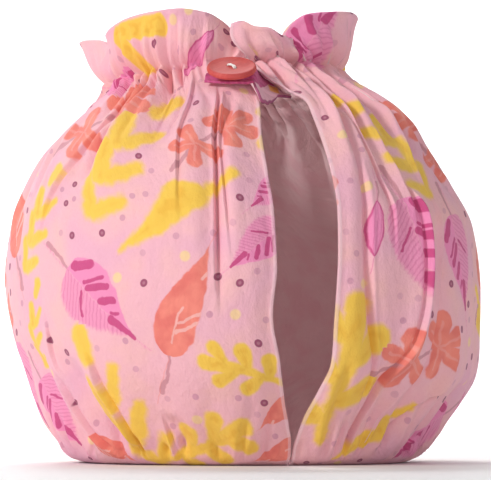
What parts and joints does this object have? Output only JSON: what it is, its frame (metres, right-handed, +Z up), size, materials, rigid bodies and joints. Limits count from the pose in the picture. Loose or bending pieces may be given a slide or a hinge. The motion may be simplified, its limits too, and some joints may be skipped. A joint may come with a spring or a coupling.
{
  "type": "tea cosy",
  "caption": "Round gathered cloth tea cosy with a frilled neck, a handle slit held shut at the top by a button and a cloth tab, and a spout opening opposite.",
  "frame": {"origin": "on the surface the cosy rests on, at the middle of its bounding box", "axes": "+Z up, -Y out of the handle slit, +Y out of the spout opening, +X to the right of someone facing the handle slit"},
  "size_m": [0.175, 0.1688, 0.1634],
  "materials": {
    "printed_cotton": "matt printed plain-weave cotton",
    "coral_button": "satin",
    "white_thread": "twisted cotton thread"
  },
  "bodies": {
    "root": {"left_panel": "printed_cotton", "right_panel": "printed_cotton", "button": "coral_button", "button_thread": "white_thread", "button_tab": "printed_cotton"}
  },
  "joints": []
}
